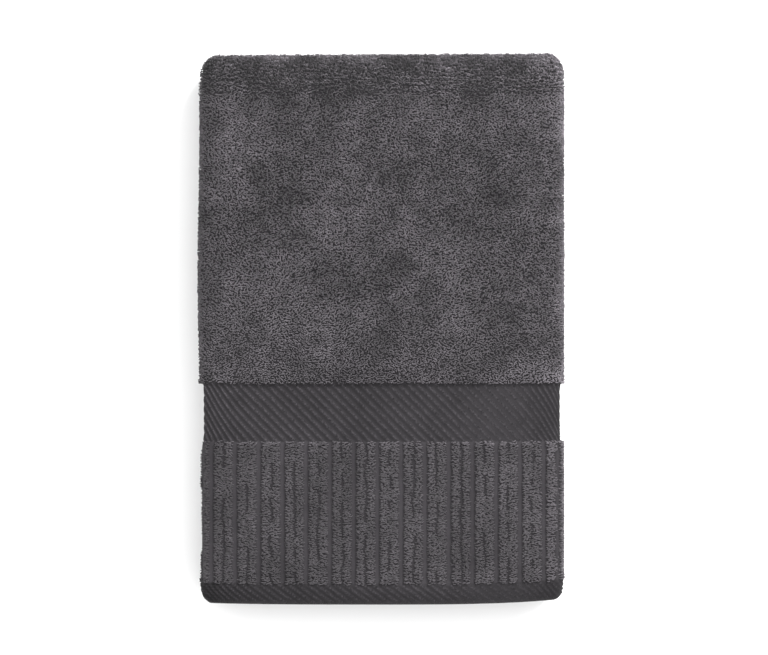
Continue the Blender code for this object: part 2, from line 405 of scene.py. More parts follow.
    def width_share(self, along: np.ndarray) -> np.ndarray:
        """The section's width, as a share of the front's.

        Args:
            along: Distances along the cloth.

        Returns:
            The shares: less on the lower passes, and where the dobby band draws the sides in.
        """
        lower = np.interp(along, self.along.span(Along.TOP_FOLD), (1.0, self.lower_width))
        edges = (self.ribs_end, self.dobby_end)
        places = [edge + side for edge in edges for side in (-self.band_ease, self.band_ease)]
        return lower * np.interp(along, places, (1.0, self.band_width, self.band_width, 1.0))

    def settle(self, points: np.ndarray) -> np.ndarray:
        """Lowers the sides a little and gives the outline its bulges, rises and round corners.

        With a side of -1 to 1 across and an end of -1 to 1 along, the height falls by side to the
        4th power. The left side moves out by side squared times a bell along it. The hem rises by
        side cubed times end squared. The corners move in by side to the 6th power times the cube
        of their nearness to the end.

        Args:
            points: Places on the even folds.

        Returns:
            The same places on the settled towel.
        """
        x, y, z = points.T
        side, lengthwise = 2 * x / self.width, 2 * y / self.length
        span = bell(lengthwise - self.left_bulge_at, self.left_bulge_spread)
        bulge = self.left_bulge * np.maximum(-side, 0) ** 2 * span
        rise = np.where(side > 0, self.right_hem_rise, self.left_hem_rise) * np.abs(side) ** 3
        hem, top = np.maximum(-lengthwise, 0) ** 2, np.maximum(lengthwise, 0) ** 2
        settled_y = y + rise * hem - self.top_tilt * (1 - side) / 2 * top
        right = (side > 0).astype(int)
        corner = np.where(y > 0, np.take(self.top_corners, right), np.take(self.hem_corners, right))
        near_end = np.clip(1 - (self.length / 2 - np.abs(y)) / self.corner_reach, 0.0, 1.0)
        drawn_in = np.sign(x) * corner * near_end**3 * side**6
        height = 1 - self.crown * np.abs(side) ** 4
        return np.stack((x - bulge - drawn_in, settled_y, z * height), axis=1)

    def place(self, across: np.ndarray, along: np.ndarray, outward: np.ndarray) -> np.ndarray:
        """Puts points of the cloth where the folds carry them.

        The section gives x and a height in the stack. The length gives y and z, as its own place
        plus that height times its normal.

        Args:
            across: Distances across the cloth.
            along: Distances along the cloth.
            outward: How far each point lies from the cloth's middle, on its right side.

        Returns:
            The points as rows of three, before the frame's shift.
        """
        section, _, away = self.across.at(across)
        section = section + away * outward[:, None]
        middles, _, normals = self.along.at(along)
        x = section[:, 0] * self.width_share(along)
        return self.settle(np.column_stack((x, middles + section[:, 1:] * normals)))

    def upward(self, across: np.ndarray, along: np.ndarray) -> np.ndarray:
        """The directions in which the right side faces: the section's normal, carried by the length's.

        Args:
            across: Distances across the cloth.
            along: Distances along the cloth.

        Returns:
            Unit vectors as rows of three.
        """
        _, _, away = self.across.at(across)
        _, _, normals = self.along.at(along)
        return np.column_stack((away[:, 0], away[:, 1:] * normals))


FORM = FoldedForm()


@dataclass(frozen=True)
class Relief:
    """The heights, the fine tones and the painted light and shade of the right side's weave, in every band.

    Widths and places within a cord are shares of its pitch. A table gives distances from the
    front's middle line, and the value at each.
    """

    rib_pitch: float = 0.01490
    groove_count: int = 15
    groove_width: float = 0.0039
    groove_side: float = 0.0010
    first_groove: float = -0.1070
    left_groove: float = -0.1128
    left_groove_width: float = 0.0030
    right_groove: float = 0.1106
    right_groove_width: float = 0.0020
    parting_noise: SoftNoise = SoftNoise(0.009, SEED + 5)
    parting_rib_step: float = 0.0137
    parting_wander: float = 0.07
    cord_pitch: float = 0.00593
    cord_height: float = 0.0009
    cord_valley: float = 0.0003
    cord_crest: float = 0.74
    cord_sharpness: float = 2.2
    cord_inset: float = 0.0008
    cord_rise: Table = ((0.045, 0.065, 0.085, 0.100), (1.0, 0.5, 0.5, 1.0))
    closing_at: float = 0.078
    closing_reach: float = 0.032
    # crest_line to line_weight: the cords' painted highlight at the crest and painted shade on the climb.
    crest_line: float = 0.065
    crest_line_at: float = 0.04
    crest_shade: float = 0.30
    crest_shade_at: float = -0.34
    crest_shade_width: float = 0.13
    twin_line_at: float = -0.46
    twin_line: Table = ((0.035, 0.060, 0.085, 0.100), (0.0, 1.0, 1.0, 0.0))
    line_weight: Table = (
        (-0.110, -0.085, 0.0, 0.045, 0.065, 0.085, 0.108),
        (1.9, 1.2, 0.8, 0.7, 0.45, 0.5, 1.1),
    )
    hem_lean: float = 1.83
    hem_plain: float = 0.013
    hem_plain_ease: float = 0.006
    # hem_line and hem_shade: the hem's painted highlights, and painted shade at its left.
    hem_line: Table = ((0.045, 0.075), (1.0, 0.25))
    hem_shade: float = 0.27
    hem_shade_share: Table = ((-0.105, -0.070), (1.0, 0.0))
    stitch_from: float = 0.52
    stitch_ramp: float = 0.07
    pile_depth: float = 0.0013

    def corded_bands(self, hem_start: float = 0.0) -> tuple[tuple[Zone, float, float], ...]:
        """The corded bands, each with the distances along the cloth at which it begins and ends."""
        return (Zone.HEM, hem_start, FORM.hem_end), (Zone.DOBBY, FORM.ribs_end, FORM.dobby_end)

    def groove_share(self, from_middle: np.ndarray) -> np.ndarray:
        """Where the flat grooves between the ribs lie, by the distance to the nearest one's edge.

        Args:
            from_middle: Distances across the cloth from the front's middle line.

        Returns:
            1 on a groove's floor, 0 on a rib, and between them on a groove's sides.
        """
        offset = from_middle - self.first_groove
        nearest = np.clip(np.round(offset / self.rib_pitch), 0, self.groove_count - 1)
        regular = np.abs(offset - nearest * self.rib_pitch) - self.groove_width / 2
        left = np.abs(from_middle - self.left_groove) - self.left_groove_width / 2
        right = np.abs(from_middle - self.right_groove) - self.right_groove_width / 2
        outside = np.minimum(np.minimum(regular, left), right)
        return np.clip(0.5 - outside / self.groove_side, 0.0, 1.0)

    def spread(self, from_middle: np.ndarray) -> np.ndarray:
        """Spreads out the cloth near the front's sides, where the cords lie up to twice as close.

        The stretch grows as the square of the distance beyond its start, up to two, so the added
        distance is its cube over three times the reach squared, and then grows evenly.

        Args:
            from_middle: Distances across the cloth from the front's middle line.

        Returns:
            Distances on which the cords' pitch is even.
        """
        beyond = np.maximum(np.abs(from_middle) - self.closing_at, 0.0)
        closing = np.minimum(beyond, self.closing_reach)
        added = closing**3 / (3 * self.closing_reach**2) + beyond - closing
        return from_middle + np.sign(from_middle) * added

    def cord_fraction(self, from_middle: np.ndarray, along: np.ndarray, zone: Zone) -> np.ndarray:
        """Where a point lies between two diagonal grooves: its spread place plus the lean's shift.

        Args:
            from_middle: Distances across the cloth from the front's middle line.
            along: Distances along the cloth.
            zone: The corded band, the dobby or the hem.

        Returns:
            From 0 at the groove on its left to 1 at the groove on its right.
        """
        hem = zone is Zone.HEM
        middle = FORM.hem_end / 2 if hem else (FORM.ribs_end + FORM.dobby_end) / 2
        lean = self.hem_lean if hem else 1.0
        return ((self.spread(from_middle) + lean * (along - middle)) / self.cord_pitch) % 1.0

    def cords(self, from_middle: np.ndarray, along: np.ndarray) -> np.ndarray:
        """How far the diagonal cords rise over the flat weave.

        A cord climbs gently on its left and falls steeply to its right, as a power of a half sine
        each way, and fades out at its band's borders.

        Args:
            from_middle: Distances across the cloth from the front's middle line.
            along: Distances along the cloth.

        Returns:
            The rises, which are a little under zero in the grooves between the cords.
        """
        rise = np.zeros_like(from_middle)
        for zone, low, high in self.corded_bands(hem_start=FORM.edge_rounding):
            fraction = self.cord_fraction(from_middle, along, zone)
            climb, fall = fraction / self.cord_crest, (1 - fraction) / (1 - self.cord_crest)
            ridge = np.sin(np.minimum(np.minimum(climb, fall), 1) * math.pi / 2) ** self.cord_sharpness
            inside = np.clip(np.minimum(along - low, high - along) / self.cord_inset, 0.0, 1.0)
            inside = inside * np.interp(from_middle, *self.cord_rise)
            rise = rise + (ridge * self.cord_height - self.cord_valley) * inside
        return rise

    def painted_cord_light_and_shade(self, from_middle: np.ndarray, along: np.ndarray) -> np.ndarray:
        """Painted light and shade on the cords: a highlight along each crest and shade beside it.

        Across a cord, the lines are bell curves: a painted highlight just past its crest, on the steep
        side that faces the light, a wide painted shade on its climb, and towards the right a second light
        line. The hem's lines begin a little inside its left edge, weaken to the right, and lie on painted
        shade at the left.

        Args:
            from_middle: Distances across the cloth from the front's middle line.
            along: Distances along the cloth.

        Returns:
            About 1 on a painted highlight, under 0 on painted shade, and 0 outside the corded bands.
        """
        lines = np.zeros_like(from_middle)
        for zone, low, high in self.corded_bands():
            from_crest = self.cord_fraction(from_middle, along, zone) - self.cord_crest
            # A painted highlight just past the crest, on the cord's steep side, which faces the light.
            line = bell(from_crest - self.crest_line_at, self.crest_line)
            twin = bell(from_crest - self.twin_line_at, self.crest_line)
            line = line + np.interp(from_middle, *self.twin_line) * twin
            if zone is Zone.HEM:
                starts = (from_middle + FORM.width / 2 - self.hem_plain) / self.hem_plain_ease + 1
                line = line * np.clip(starts, 0.0, 1.0) * np.interp(from_middle, *self.hem_line)
                line = line - self.hem_shade * np.interp(from_middle, *self.hem_shade_share)
            # Painted shade on the cord's gentle climb, which faces away from the light.
            shade = bell(from_crest - self.crest_shade_at, self.crest_shade_width)
            lines = lines + (line - self.crest_shade * shade) * ((along > low) & (along < high))
        return lines * np.interp(from_middle, *self.line_weight)

    def stitched(self, from_middle: np.ndarray, along: np.ndarray) -> np.ndarray:
        """Where the cords' raised side shows short stitches instead of smooth threads.

        Args:
            from_middle: Distances across the cloth from the front's middle line.
            along: Distances along the cloth.

        Returns:
            1 on the raised side of each cord, 0 between them and outside the corded bands.
        """
        share = np.zeros_like(from_middle)
        for zone, low, high in self.corded_bands():
            fraction = self.cord_fraction(from_middle, along, zone)
            from_border = np.minimum(fraction - self.stitch_from, 1.0 - fraction)
            ramp = np.clip(from_border / self.stitch_ramp, 0.0, 1.0)
            share = share + ramp * ((along > low) & (along < high))
        return share

    def parting(self, from_middle: np.ndarray, along: np.ndarray) -> np.ndarray:
        """The line along the middle of each rib, wandering by soft noise, where its loops part.

        Args:
            from_middle: Distances across the cloth from the front's middle line.
            along: Distances along the cloth.

        Returns:
            The distance to the nearest parting, under 0 on its left.
        """
        place = (from_middle - self.first_groove) / self.rib_pitch
        wander = self.parting_noise(np.floor(place) * self.parting_rib_step, along) * self.parting_wander
        return (place % 1.0 - 0.5 - wander) * self.rib_pitch

    def pile_share(self, across: np.ndarray, along: np.ndarray) -> np.ndarray:
        """Where loops cover the right side: on the ribs, and from the dobby band's end.

        Args:
            across: Distances across the cloth.
            along: Distances along the cloth.

        Returns:
            1 under the pile, 0 on flat weave.
        """
        end = FORM.from_end(along)
        in_ribs = (end > FORM.hem_end) & (end < FORM.ribs_end)
        ribs = (1 - self.groove_share(across - FORM.front_middle)) * in_ribs
        return np.maximum(ribs, (end >= FORM.dobby_end).astype(float))

    def top(self, across: np.ndarray, along: np.ndarray) -> np.ndarray:
        """How far the finished right side lies from the cloth's middle, pile included.

        It is the band's thickness, blended from the rib's to the groove's by groove_share, less
        the part under the middle, times the rounding at the cloth's edges.

        Args:
            across: Distances across the cloth.
            along: Distances along the cloth.

        Returns:
            The distances, which are the solid's.
        """
        end, flat = FORM.from_end(along), FORM.flat_weave
        crest = np.interp(end, FORM.band_steps, (FORM.hem, FORM.terry, FORM.terry, flat, flat, FORM.terry))
        groove = np.interp(end, FORM.band_steps, (FORM.hem, flat, flat, flat, flat, FORM.terry))
        thickness = crest + (groove - crest) * self.groove_share(across - FORM.front_middle)
        return (thickness - FORM.ground) * FORM.rounding(across, along)


RELIEF = Relief()


@dataclass
class Builder:
    shift: np.ndarray
    made: list[bpy.types.Object] = field(default_factory=list)

    def piece(
        self, name: str, points: np.ndarray, faces: np.ndarray, material: bpy.types.Material
    ) -> bpy.types.Object:
        """Makes one mesh object that rides on the frame.

        Args:
            name: The object's name.
            points: Places as rows of three, before the frame's shift.
            faces: Rows of three or four point numbers.
            material: The material that it wears.

        Returns:
            The object, at the origin.
        """
        mesh = bpy.data.meshes.new(name)
        moved = (points - self.shift).astype(np.float32)
        mesh.vertices.add(len(moved))
        mesh.vertices.foreach_set("co", moved.ravel())
        corners = faces.shape[1]
        mesh.loops.add(faces.size)
        mesh.loops.foreach_set("vertex_index", faces.astype(np.int32).ravel())
        mesh.polygons.add(len(faces))
        mesh.polygons.foreach_set("loop_start", np.arange(len(faces), dtype=np.int32) * corners)
        mesh.polygons.foreach_set("use_smooth", np.ones(len(faces), dtype=bool))
        mesh.update(calc_edges=True)
        mesh.validate()
        mesh.materials.append(material)
        made = bpy.data.objects.new(name, mesh)
        bpy.context.scene.collection.objects.link(made)
        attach(made, "root")
        self.made.append(made)
        log.info("%s: %d points, %d triangles", name, len(points), len(faces) * (corners - 2))
        return made

    @staticmethod
    def tell(piece: bpy.types.Object, reading: Reading, values: np.ndarray) -> None:
        """Gives each point of a piece a number or a vector that its material reads.

        Args:
            piece: The object.
            reading: What the values tell.
            values: One number or one row of three for each point.
        """
        kind, key = ("FLOAT", "value") if values.ndim == 1 else ("FLOAT_VECTOR", "vector")
        layer = piece.data.attributes.new(reading.value, kind, "POINT")
        layer.data.foreach_set(key, values.astype(np.float32).ravel())

    @staticmethod
    def lay_flat(piece: bpy.types.Object, places: np.ndarray) -> None:
        """Gives a piece its map for baked colours, from a row of two for each corner of each face."""
        layer = piece.data.uv_layers.new(name=BAKE_MAP)
        layer.uv.foreach_set("vector", places.astype(np.float32).ravel())


def grid_faces(rows: int, columns: int) -> np.ndarray:
    """Numbers the quads, turning left, of a grid of points that was filled row by row."""
    low = (np.arange(rows - 1)[:, None] * columns + np.arange(columns - 1)).ravel()
    return np.column_stack((low, low + 1, low + columns + 1, low + columns))


def grid_points(across: np.ndarray, along: np.ndarray) -> tuple[np.ndarray, np.ndarray]:
    """Both distances of every point of a grid, row by row."""
    return np.tile(across, len(along)), np.repeat(along, len(across))


def spaced(line: FoldLine, steps: tuple[int, ...], extra: list[float]) -> np.ndarray:
    """Divides a folded line: each run into even steps.

    Args:
        line: The line.
        steps: How many steps each of its runs takes.
        extra: Further distances to add.

    Returns:
        The distances, in order.
    """
    places = [0.0]
    for begin, run, count in zip(line.begins, line.runs, steps):
        places += [begin + run.length * (i + 1) / count for i in range(count)]
    return np.unique(np.round([*places, *extra], PLACE_DIGITS))


@dataclass(frozen=True)
class ClothSheet:
    """The whole cloth as one closed sheet, under its pile and its border."""

    across_steps: tuple[int, ...] = (10, 12, 30, 16, 10)
    along_steps: tuple[int, ...] = (8, 48, 30, 12, 16, 12, 16, 24)
    sunk: float = 0.0004
    sunk_ease: float = 0.0020
    map_gap: float = 0.006
    rim_share: float = 0.6
    rim_tolerance: float = 1e-9
    # gap_shade to end_ease: painted shade on the sheet between the loops.
    gap_shade: float = 0.27
    fold_shade: float = 0.66
    back_shade: float = 0.30
    fold_ease: float = 0.016
    back_ease: float = 0.010
    end_ease: float = 0.004

    def window(self, distance: np.ndarray, low: float, high: float) -> np.ndarray:
        """1 between two distances and 0 outside them, with a straight ramp inside each end."""
        return np.clip(np.minimum(distance - low, high - distance) / self.sunk_ease, 0.0, 1.0)

    def covered(self, across: np.ndarray, along: np.ndarray) -> np.ndarray:
        """Where loops or the woven border cover the sheet, as products of two windows.

        Args:
            across: Distances across the cloth.
            along: Distances along the cloth.

        Returns:
            1 on the front, the top fold, the base fold and the side folds' terry, 0 elsewhere.
        """
        wide, long = FORM.across, FORM.along
        lowest, far = long.begins[Along.LOWEST], long.length
        shown = self.window(across, *wide.span(Across.LEFT_FOLD, Across.RIGHT_FOLD))
        front = shown * self.window(along, -math.inf, lowest)
        base = self.window(across, *wide.span(Across.FRONT)) * self.window(along, *long.span(Along.BASE_FOLD))
        folds = (Across.LEFT_FOLD, Across.RIGHT_FOLD)
        left, right = (self.window(across, *wide.span(fold)) for fold in folds)
        terry = self.window(along, lowest - self.sunk_ease, far - FORM.dobby_end)
        ribs = self.window(along, far - FORM.ribs_end, far - FORM.hem_end)
        return np.maximum(np.maximum(front, base), (left + right) * (terry + ribs))

    def top(self, across: np.ndarray, along: np.ndarray) -> np.ndarray:
        """How far the sheet's right side lies from the cloth's middle.

        Args:
            across: Distances across the cloth.
            along: Distances along the cloth.

        Returns:
            The finished surface where nothing covers it. Under loops the pile's depth is taken off,
            and under the woven border the sheet is as thin as the flat weave, and a little thinner.
        """
        finished = RELIEF.top(across, along)
        rounding = FORM.rounding(across, along)
        under_loops = finished - RELIEF.pile_depth * rounding
        under_weave = (FORM.flat_weave - FORM.ground - self.sunk) * rounding
        under = np.where(along < FORM.dobby_end + FORM.band_step, under_weave, under_loops)
        return finished + (under - finished) * self.covered(across, along)

    def shade(self, across: np.ndarray, along: np.ndarray) -> np.ndarray:
        """How light the sheet is: painted shade between the loops, most on the top fold's upper half.

        Args:
            across: Distances across the cloth.
            along: Distances along the cloth.

        Returns:
            1 less a table of painted shades along the cloth, times how far the sheet is covered.
        """
        begin, end = FORM.along.span(Along.TOP_FOLD)
        crest = (begin + end) / 2
        table = (
            (begin, self.gap_shade),
            (begin + self.fold_ease, self.fold_shade),
            (crest, self.fold_shade),
            (crest + self.back_ease, self.back_shade),
            (end - self.end_ease, self.back_shade),
            (end, 0.0),
        )
        return 1 - np.interp(along, *zip(*table)) * self.covered(across, along)

    def flat_places(self, across: np.ndarray, along: np.ndarray, faces: np.ndarray, side: int) -> np.ndarray:
        """Lays both sides of the cloth flat beside each other, with the rims in the gaps round them.

        Args:
            across: Each point's distance across the cloth.
            along: Each point's distance along the cloth.
            faces: All faces: the right side, the wrong side, then the rims.
            side: How many faces one side has.

        Returns:
            A row of two for each corner.
        """
        spread = (1 - 4 * self.map_gap) / (2 * FORM.across.length)
        flat = np.column_stack((across, along)) * spread + self.map_gap
        places = np.concatenate((flat, flat + (0.5, 0.0)))[faces]
        off = flat - flat.mean(axis=0)
        at_rim = np.abs(off) >= np.abs(off).max(axis=0) - self.rim_tolerance
        outward = np.sign(np.where(at_rim, off, 0))
        rims = np.concatenate((flat, flat + outward * self.map_gap * self.rim_share))
        places[2 * side :] = rims[faces[2 * side :]]
        return places.reshape(-1, 2)

    @staticmethod
    def rims(count: int, columns: int) -> list[np.ndarray]:
        """Closes the sheet round its four edges, with quads from the right side to the wrong side.

        Args:
            count: How many points one side has.
            columns: How many points a row has.

        Returns:
            The quads of the first and last row, then of the first and last column.
        """
        first_row, first_column = np.arange(columns), np.arange(0, count, columns)
        edges = (
            (first_row, False),
            (count - columns + first_row, True),
            (first_column, True),
            (columns - 1 + first_column, False),
        )
        rims = []
        for edge, turned in edges:
            here, there = edge[:-1], edge[1:]
            quads = np.column_stack((there, here, here + count, there + count))
            rims.append(quads[:, ::-1] if turned else quads)
        return rims

    def build(self, builder: Builder, material: bpy.types.Material) -> bpy.types.Object:
        """Makes the sheet: both sides on one grid of distances, and the rims between them.

        Args:
            builder: What makes the mesh.
            material: The cloth's material.

        Returns:
            The object.
        """
        wide, long = FORM.across.length, FORM.along.length
        ends = (FORM.edge_rounding / 2, FORM.edge_rounding)
        across = spaced(FORM.across, self.across_steps, [*ends, *(wide - end for end in ends)])
        stops = (*FORM.band_steps, *ends)
        along = spaced(FORM.along, self.along_steps, [*stops, *(long - stop for stop in stops)])
        u, v = grid_points(across, along)
        bottom = -FORM.ground * FORM.rounding(u, v)
        points = np.concatenate((FORM.place(u, v, self.top(u, v)), FORM.place(u, v, bottom)))
        over = grid_faces(len(along), len(across))
        faces = np.concatenate((over, over[:, ::-1] + len(u), *self.rims(len(u), len(across))))
        sheet = builder.piece("towel_cloth", points, faces, material)
        builder.lay_flat(sheet, self.flat_places(u, v, faces, len(over)))
        # The sheet's painted shade between the loops.
        builder.tell(sheet, Reading.SHADE, np.tile(self.shade(u, v), 2))
        return sheet


@dataclass(frozen=True)
class WovenBorder:
    """The flat woven border: the hem's cords, the ground of the ribs and the dobby band."""

    across_step: float = 0.00062
    along_step: float = 0.0008
    rib_rows: int = 30
    overlap: float = 0.0006
    dobby_before: float = 0.0004
    dobby_beyond: float = 0.0016
    tuck: float = 0.0008
    tuck_ease: float = 0.0006
    tuck_beyond: float = 0.0012
    pile_painted_shade: float = 0.7
    map_margin: float = 0.01

    def columns(self) -> np.ndarray:
        """Spaces the columns evenly on the spread-out cloth, so every cord gets as many of them.

        Returns:
            Distances across the cloth.
        """
        fine = np.linspace(*FORM.across.span(Across.LEFT_FOLD, Across.RIGHT_FOLD), SAMPLES)
        spread = RELIEF.spread(fine - FORM.front_middle)
        count = int((spread[-1] - spread[0]) / self.across_step)
        return np.interp(np.linspace(spread[0], spread[-1], count), spread, fine)

    def rows(self) -> np.ndarray:
        """Spaces the rows: fine ones over the hem and the dobby band, wider ones under the ribs.

        Returns:
            Distances along the cloth.
        """
        hem = np.arange(0.0, FORM.hem_end + self.overlap, self.along_step)
        ribs = np.linspace(FORM.hem_end + self.overlap, FORM.ribs_end - self.overlap, self.rib_rows)
        dobby = (FORM.ribs_end - self.dobby_before, FORM.dobby_end + self.dobby_beyond)
        return np.concatenate((hem, ribs, np.arange(*dobby, self.along_step)))

    def build(self, builder: Builder, material: bpy.types.Material) -> bpy.types.Object:
        """Makes the border, as a skin that lies on the sheet and dips into it at its rim.

        Its height is the finished surface's plus the cords', less the pile's depth under loops and
        less a tuck that grows straight over the last part of the way to its rim.

        Args:
            builder: What makes the mesh.
            material: The flat weave's material.

        Returns:
            The object.
        """
        left, right = FORM.across.span(Across.LEFT_FOLD, Across.RIGHT_FOLD)
        across, along = self.columns(), self.rows()
        u, v = grid_points(across, along)
        from_middle, pile = u - FORM.front_middle, RELIEF.pile_share(u, v)
        raised = RELIEF.cords(from_middle, v) * FORM.rounding(u, v)
        inside = np.minimum(np.minimum(u - left, right - u), FORM.dobby_end + self.tuck_beyond - v)
        tucked = self.tuck * np.clip(1 - inside / self.tuck_ease, 0.0, 2.0)
        height = RELIEF.top(u, v) + raised - RELIEF.pile_depth * pile - tucked
        faces = grid_faces(len(along), len(across))
        border = builder.piece("woven_border", FORM.place(u, v, height), faces, material)
        flat = np.column_stack(((u - left) / (right - left), v / along[-1]))
        flat = flat * (1 - 2 * self.map_margin) + self.map_margin
        builder.lay_flat(border, flat[faces].reshape(-1, 2))
        # The third value: 1 in the ribs' band and less under the loops, where the ribs' ground keeps painted
        # shade.
        in_ribs = ((v > FORM.hem_end) & (v < FORM.ribs_end)).astype(float) * (1 - self.pile_painted_shade * pile)
        builder.tell(border, Reading.CLOTH, np.column_stack((u, v, in_ribs)))
        # The cords' painted light and shade.
        builder.tell(border, Reading.CREST, RELIEF.painted_cord_light_and_shade(from_middle, v))
        builder.tell(border, Reading.STITCH, RELIEF.stitched(from_middle, v))
        return border


@dataclass(frozen=True)
class Plot:
    """A stretch of the right side that loops are planted on.

    The pitch is that of the outer face, which lies outward of the folded line along the cloth. The
    lie is how far single loops turn at random, and the flow how far they turn together.
    """

    name: str
    across: tuple[float, float]
    along: tuple[float, float]
    pitch: tuple[float, float]
    outward: float
    kind: PileKind = PileKind.FIELD
    lie_deg: float = 34.0
    flow_deg: float = 30.0
    loop_length: float = 0.0018
    arch: float = 0.0019
    least_arch: float = 0.62
    tone_spread: float = 0.24
    row_pitch: float = 0.0
    jitter: float = 0.45

    def outer(self) -> tuple[tuple[np.ndarray, np.ndarray], ...]:
        """The tables of distances on the outer face, and of the cloth's: across, then along."""
        return FORM.across.stretched(FORM.ground), FORM.along.stretched(self.outward)

    def on_cloth(self, across: np.ndarray, along: np.ndarray) -> tuple[np.ndarray, np.ndarray]:
        """Turns distances on the outer face into distances on the cloth."""
        wide, long = self.outer()
        return np.interp(across, *wide), np.interp(along, *long)

    def roots(self, rng: Draws) -> tuple[np.ndarray, np.ndarray]:
        """Scatters roots over the plot: a grid of points, each moved at random within its cell.

        Every second row starts half a cell further, and all of them a quarter of one back.

        Args:
            rng: The source of the random moves.

        Returns:
            The roots' distances across and along, measured on the cloth's outer face.
        """
        wide, long = self.outer()
        low, high = np.interp(self.across, *reversed(wide))
        first, last = np.interp(self.along, *reversed(long))
        columns, rows = int((high - low) / self.pitch[0]), int((last - first) / self.pitch[1])
        u, v = np.meshgrid(np.arange(columns) + 0.5, np.arange(rows) + 0.5)
        jitter = rng.uniform(-self.jitter, self.jitter, (2, *u.shape))
        u = low + (u + jitter[0] + 0.5 * (np.arange(rows) % 2)[:, None] - 0.25) * (high - low) / columns
        v = first + (v + jitter[1]) * (last - first) / rows
        return u.ravel(), v.ravel()


@dataclass(frozen=True)
class TerryPile:
    """Loops of yarn: each is a short tube that rises out of the cloth, bends and goes back in.

    Heights are shares of a loop's arch, and the rings' places shares of its length. Spreads are
    the most that a loop differs at random from the others.
    """

    length_spread: float = 0.35
    bend_spread: float = 0.28
    most_arch: float = 1.08
    yarn_radius: float = 0.00034
    rings: tuple[float, ...] = (-0.24, 0.24)
    sides: int = 3
    tip_height: float = -0.6
    arch_fall: float = 1.6
    yarn_sunk: float = 0.6
    flow: SoftNoise = SoftNoise(0.013, SEED + 1)
    fine_flow: SoftNoise = SoftNoise(0.005, SEED + 2)
    fine_flow_share: float = 0.6
    edge: SoftNoise = SoftNoise(0.004, SEED + 3)
    edge_wander: float = 0.0005
    broad_edge: SoftNoise = SoftNoise(0.021, SEED + 4)
    broad_edge_wander: float = 0.0011
    edge_puff: float = 0.45
    puff_width: float = 0.0026
    missing: float = 0.07
    most_missing: float = 4.0
    opening: float = 4.0
    patch_sizes: Table = ((0.034, 0.015, 0.0068, 0.0031), (0.29, 0.26, 0.27, 0.22))
    patch_seed: int = SEED + 7
    patch_tone: float = 0.95
    rib_patch_tone: float = 0.5
    rib_edge_spread: float = 0.0003
    parting_width: float = 0.0009
    parting_bell: float = 0.0011
    parting_depth: float = 0.0010
    parting_least: float = 0.3
    parting_growth: float = 0.8
    # Painted shade in the ribs' partings.
    parting_shade: float = 0.45
    opened_noise: SoftNoise = SoftNoise(0.0075, SEED + 6)
    opened_share: float = 0.85
    opened_contrast: float = 2.2
    row_noise: SoftNoise = SoftNoise(0.011, SEED + 12)
    row_wander: float = 0.0030
    row_height: float = 0.25
    # Loops lighter on a row and darker between rows: painted shade in the gaps between rows.
    row_painted_shade: float = 0.30
    # From here to rib_end_width: painted shade below the top fold, at the left side and on the ribs, painted
    # light at the right side and at the ribs' end at the dobby band.
    painted_fold_shade: float = 0.26
    painted_fold_shade_at: float = 0.008
    painted_fold_shade_width: float = 0.021
    side_width: float = 0.012
    right_light: float = 0.42
    left_shade: float = 0.34
    rib_shade: float = 0.24
    rib_end_light: float = 1.5
    rib_end_width: float = 0.003
    least_tone: float = 0.35
    map_margin: float = 0.08

    def keep(self, plot: Plot, across: np.ndarray, along: np.ndarray, rng: Draws) -> np.ndarray:
        """Chooses the roots that stand in pile, and leaves the ribs' partings open.

        The field starts behind a border that wanders by soft noise, and loses loops at random, the
        more the lower a patch lies.

        Args:
            plot: The plot.
            across: Distances across the cloth.
            along: Distances along the cloth.
            rng: The source of random numbers.

        Returns:
            True for each root that gets a loop.
        """
        if plot.kind is PileKind.RIBS:
            from_middle = across - FORM.front_middle
            moved = from_middle + rng.normal(0, self.rib_edge_spread, len(across))
            parting = np.abs(RELIEF.parting(from_middle, along)) < self.parting_width
            return (RELIEF.groove_share(moved) < 0.5) & ~(parting & (self.opened(across, along) > 0.5))
        edge = self.edge(across, along) * self.edge_wander
        edge = edge + self.broad_edge(across, along) * self.broad_edge_wander
        end = FORM.from_end(along)
        in_terry = (end > FORM.dobby_end + edge) | ((end > FORM.hem_end) & (end < FORM.ribs_end))
        sparse = np.clip(1 - self.opening * self.patches(across, along), 0.0, self.most_missing)
        return in_terry & (rng.uniform(0, 1, len(across)) > self.missing * sparse)

    def opened(self, across: np.ndarray, along: np.ndarray) -> np.ndarray:
        """How wide the ribs' partings open: soft noise, raised and cut off at 0 and 1."""
        noise = self.opened_noise(across, along)
        return np.clip(self.opened_share + self.opened_contrast * noise, 0.0, 1.0)

    def patches(self, across: np.ndarray, along: np.ndarray) -> np.ndarray:
        """Sums soft noise of several sizes: over 0 where the pile lies closed, under 0 where open."""
        sizes = enumerate(zip(*self.patch_sizes))
        return sum(share * SoftNoise(cell, self.patch_seed + i)(across, along) for i, (cell, share) in sizes)

    def rows(self, plot: Plot, across: np.ndarray, along: np.ndarray) -> np.ndarray:
        """How the loops stand in rows across the cloth: a sine that wanders by soft noise.

        Args:
            plot: The plot.
            across: Distances across the outer face.
            along: Distances along the outer face.

        Returns:
            From -1 between two rows to 1 on a row, or 0 where the plot has no rows.
        """
        if not plot.row_pitch:
            return np.zeros_like(along)
        wander = self.row_wander * self.row_noise(across, along)
        return np.sin(2 * math.pi * (along + wander) / plot.row_pitch)

    def parted(self, plot: Plot, across: np.ndarray, along: np.ndarray) -> tuple[np.ndarray, np.ndarray]:
        """How the loops sink along a rib's parting, with painted shade there: a bell across it, times its
        opening.

        Args:
            plot: The plot.
            across: Distances across the cloth.
            along: Distances along the cloth.

        Returns:
            How far each loop sinks, and the share of its tone that painted shade takes. Both are 0 off the
            ribs.
        """
        if plot.kind is PileKind.FIELD:
            return np.zeros_like(across), np.zeros_like(across)
        near = bell(RELIEF.parting(across - FORM.front_middle, along), self.parting_bell)
        opened = self.opened(across, along)
        sunk = self.parting_depth * near * (self.parting_least + self.parting_growth * opened)
        return sunk, self.parting_shade * opened * near

